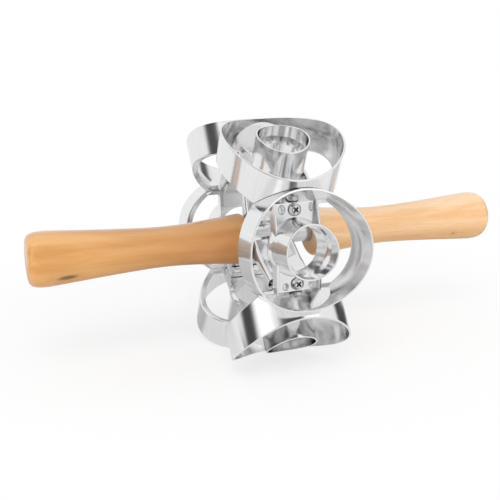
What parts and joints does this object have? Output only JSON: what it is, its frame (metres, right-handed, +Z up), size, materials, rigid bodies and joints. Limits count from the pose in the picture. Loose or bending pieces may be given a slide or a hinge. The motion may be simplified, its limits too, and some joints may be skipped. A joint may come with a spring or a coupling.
{
  "type": "doughnut cutter roller",
  "caption": "Hand roller with polished ring cutters round a spinning drum, each with a core tube for the hole, on a steel axle between two turned wooden handles.",
  "frame": {"origin": "middle of the axle, which is the middle of the whole tool", "axes": "+X along the axle towards the right handle, +Z up, -Y towards the front cutter"},
  "size_m": [0.376, 0.181, 0.181],
  "materials": {
    "cast_aluminium": "mirror-polished cast aluminium, brushed inside",
    "hub_aluminium": "polished cast aluminium hub and brackets",
    "screw_steel": "bright stainless pan-head screws",
    "axle_steel": "turned steel rod",
    "sleeve_brass": "plain turned brass sleeve",
    "handle_wood": "satin varnished beech, honey coloured"
  },
  "bodies": {
    "handles": {"axle": "axle_steel", "left_handle": "handle_wood", "right_handle": "handle_wood"},
    "sleeve": {"sliding_sleeve": "sleeve_brass"},
    "drum": {"spider": "hub_aluminium", "tie_bracket_1": "hub_aluminium", "tie_bracket_2": "hub_aluminium", "tie_bracket_3": "hub_aluminium", "cutter_1": "cast_aluminium", "cutter_2": "cast_aluminium", "cutter_3": "cast_aluminium", "cutter_4": "cast_aluminium", "cutter_5": "cast_aluminium", "cutter_6": "cast_aluminium", "upper_screw_1": "screw_steel", "lower_screw_1": "screw_steel", "upper_screw_2": "screw_steel", "lower_screw_2": "screw_steel", "upper_screw_3": "screw_steel", "lower_screw_3": "screw_steel", "upper_screw_4": "screw_steel", "lower_screw_4": "screw_steel", "upper_screw_5": "screw_steel", "lower_screw_5": "screw_steel", "upper_screw_6": "screw_steel", "lower_screw_6": "screw_steel"}
  },
  "joints": [
    {"name": "drum_slide", "type": "slide", "parent": "handles", "child": "sleeve", "axis": [1, 0, 0], "range_m": [0, 0.0184]},
    {"name": "drum_spin", "type": "hinge", "parent": "sleeve", "child": "drum", "pos_m": [-0.0092, 0, 0], "axis": [1, 0, 0], "continuous": true}
  ]
}
